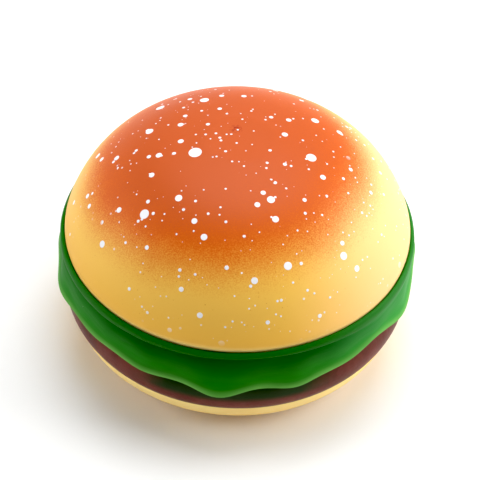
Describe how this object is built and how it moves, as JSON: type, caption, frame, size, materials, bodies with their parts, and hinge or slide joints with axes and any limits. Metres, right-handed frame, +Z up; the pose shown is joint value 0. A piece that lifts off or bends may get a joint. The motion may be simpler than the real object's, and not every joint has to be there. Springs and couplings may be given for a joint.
{
  "type": "novelty shaped telephone",
  "caption": "Burger-shaped desk telephone that opens like a clamshell to show an earpiece in its lid and a push-button keypad in its base.",
  "frame": {"origin": "on the table, under the middle of the part's bounding box", "axes": "+Z up, -Y towards the user (front), +Y towards the hinge at the back, +X to the user's right"},
  "size_m": [0.117, 0.1212, 0.0741],
  "materials": {
    "bun_crust": "semi-gloss",
    "lettuce_green": "satin",
    "patty_brown": "satin",
    "bun_base": "satin",
    "panel_cream": "satin",
    "key_white": "gloss",
    "key_small": "gloss",
    "black_plastic": "matte",
    "screw_steel": "zinc plated",
    "pin_steel": "ground",
    "spring_steel": "bright",
    "contact_brass": "bright",
    "foot_rubber": "matte",
    "mat_rubber": "matte",
    "gasket_foam": "matte",
    "board_green": "satin",
    "capacitor_sleeve": "satin",
    "resistor_body": "satin",
    "diaphragm_film": "satin",
    "magnet_steel": "zinc plated",
    "capsule_alu": "satin",
    "lead_sheath": "satin"
  },
  "bodies": {
    "base": {"lettuce_ring": "lettuce_green", "patty_ring": "patty_brown", "bottom_bun": "bun_base", "keypad_deck": "panel_cream", "main_pcb": "board_green", "dome_mat": "mat_rubber", "dialler_chip": "black_plastic", "ringer_chip": "black_plastic", "capacitors": "capacitor_sleeve", "bridge_diodes": "black_plastic", "resistors": "resistor_body", "hook_switch_body": "black_plastic", "hook_spring": "spring_steel", "mic_boot": "foot_rubber", "mic_capsule": "capsule_alu", "line_jack": "black_plastic", "line_jack_contacts": "contact_brass", "ringer_switch_body": "black_plastic", "dial_mode_switch_body": "black_plastic", "piezo_disc": "contact_brass", "ringer_cap": "black_plastic", "foot_front_left": "foot_rubber", "foot_front_right": "foot_rubber", "foot_rear_left": "foot_rubber", "foot_rear_right": "foot_rubber", "case_screws": "screw_steel", "pcb_screws": "screw_steel", "hinge_pin": "pin_steel", "hinge_lead": "lead_sheath"},
    "lid": {"top_bun": "bun_crust", "earpiece_plate": "panel_cream", "receiver_gasket": "gasket_foam", "receiver_frame": "black_plastic", "receiver_diaphragm": "diaphragm_film", "receiver_magnet": "magnet_steel", "receiver_clamp": "magnet_steel", "receiver_screws": "screw_steel", "receiver_lead": "lead_sheath", "lid_screws": "screw_steel"},
    "hook_plunger": {"hook_plunger": "key_white"},
    "ringer_switch_slider": {"ringer_switch_slider": "black_plastic"},
    "dial_mode_switch_slider": {"dial_mode_switch_slider": "black_plastic"},
    "key_1": {"key_1": "key_white"},
    "key_2": {"key_2": "key_white"},
    "key_3": {"key_3": "key_white"},
    "key_4": {"key_4": "key_white"},
    "key_5": {"key_5": "key_white"},
    "key_6": {"key_6": "key_white"},
    "key_7": {"key_7": "key_white"},
    "key_8": {"key_8": "key_white"},
    "key_9": {"key_9": "key_white"},
    "key_star": {"key_star": "key_white"},
    "key_0": {"key_0": "key_white"},
    "key_hash": {"key_hash": "key_white"},
    "key_flash": {"key_flash": "key_small"},
    "key_redial": {"key_redial": "key_small"},
    "key_mute": {"key_mute": "key_small"}
  },
  "joints": [
    {"name": "lid_hinge", "type": "hinge", "parent": "base", "child": "lid", "pos_m": [0, 0.0572, 0.0385], "axis": [-1, 0, 0], "range_deg": [0, 135]},
    {"name": "hook_plunger_slide", "type": "slide", "parent": "base", "child": "hook_plunger", "axis": [0, 0, 1], "range_m": [0, 0.002], "deforming": ["hook_spring"]},
    {"name": "ringer_switch_slide", "type": "slide", "parent": "base", "child": "ringer_switch_slider", "axis": [0.8387, -0.5446, 0], "range_m": [0, 0.0025]},
    {"name": "dial_mode_switch_slide", "type": "slide", "parent": "base", "child": "dial_mode_switch_slider", "axis": [0.8387, 0.5446, 0], "range_m": [0, 0.0025]},
    {"name": "key_1_press", "type": "slide", "parent": "base", "child": "key_1", "axis": [0, 0, 1], "range_m": [-0.0012, 0], "stiffness_N_per_m": 400, "deforming": ["dome_mat"]},
    {"name": "key_2_press", "type": "slide", "parent": "base", "child": "key_2", "axis": [0, 0, 1], "range_m": [-0.0012, 0], "stiffness_N_per_m": 400, "deforming": ["dome_mat"]},
    {"name": "key_3_press", "type": "slide", "parent": "base", "child": "key_3", "axis": [0, 0, 1], "range_m": [-0.0012, 0], "stiffness_N_per_m": 400, "deforming": ["dome_mat"]},
    {"name": "key_4_press", "type": "slide", "parent": "base", "child": "key_4", "axis": [0, 0, 1], "range_m": [-0.0012, 0], "stiffness_N_per_m": 400, "deforming": ["dome_mat"]},
    {"name": "key_5_press", "type": "slide", "parent": "base", "child": "key_5", "axis": [0, 0, 1], "range_m": [-0.0012, 0], "stiffness_N_per_m": 400, "deforming": ["dome_mat"]},
    {"name": "key_6_press", "type": "slide", "parent": "base", "child": "key_6", "axis": [0, 0, 1], "range_m": [-0.0012, 0], "stiffness_N_per_m": 400, "deforming": ["dome_mat"]},
    {"name": "key_7_press", "type": "slide", "parent": "base", "child": "key_7", "axis": [0, 0, 1], "range_m": [-0.0012, 0], "stiffness_N_per_m": 400, "deforming": ["dome_mat"]},
    {"name": "key_8_press", "type": "slide", "parent": "base", "child": "key_8", "axis": [0, 0, 1], "range_m": [-0.0012, 0], "stiffness_N_per_m": 400, "deforming": ["dome_mat"]},
    {"name": "key_9_press", "type": "slide", "parent": "base", "child": "key_9", "axis": [0, 0, 1], "range_m": [-0.0012, 0], "stiffness_N_per_m": 400, "deforming": ["dome_mat"]},
    {"name": "key_star_press", "type": "slide", "parent": "base", "child": "key_star", "axis": [0, 0, 1], "range_m": [-0.0012, 0], "stiffness_N_per_m": 400, "deforming": ["dome_mat"]},
    {"name": "key_0_press", "type": "slide", "parent": "base", "child": "key_0", "axis": [0, 0, 1], "range_m": [-0.0012, 0], "stiffness_N_per_m": 400, "deforming": ["dome_mat"]},
    {"name": "key_hash_press", "type": "slide", "parent": "base", "child": "key_hash", "axis": [0, 0, 1], "range_m": [-0.0012, 0], "stiffness_N_per_m": 400, "deforming": ["dome_mat"]},
    {"name": "key_flash_press", "type": "slide", "parent": "base", "child": "key_flash", "axis": [0, 0, 1], "range_m": [-0.0012, 0], "stiffness_N_per_m": 400, "deforming": ["dome_mat"]},
    {"name": "key_redial_press", "type": "slide", "parent": "base", "child": "key_redial", "axis": [0, 0, 1], "range_m": [-0.0012, 0], "stiffness_N_per_m": 400, "deforming": ["dome_mat"]},
    {"name": "key_mute_press", "type": "slide", "parent": "base", "child": "key_mute", "axis": [0, 0, 1], "range_m": [-0.0012, 0], "stiffness_N_per_m": 400, "deforming": ["dome_mat"]}
  ],
  "couplings": [
    {"joint": "hook_plunger_slide", "follows": "lid_hinge", "m_per_rad": 0.000848}
  ]
}
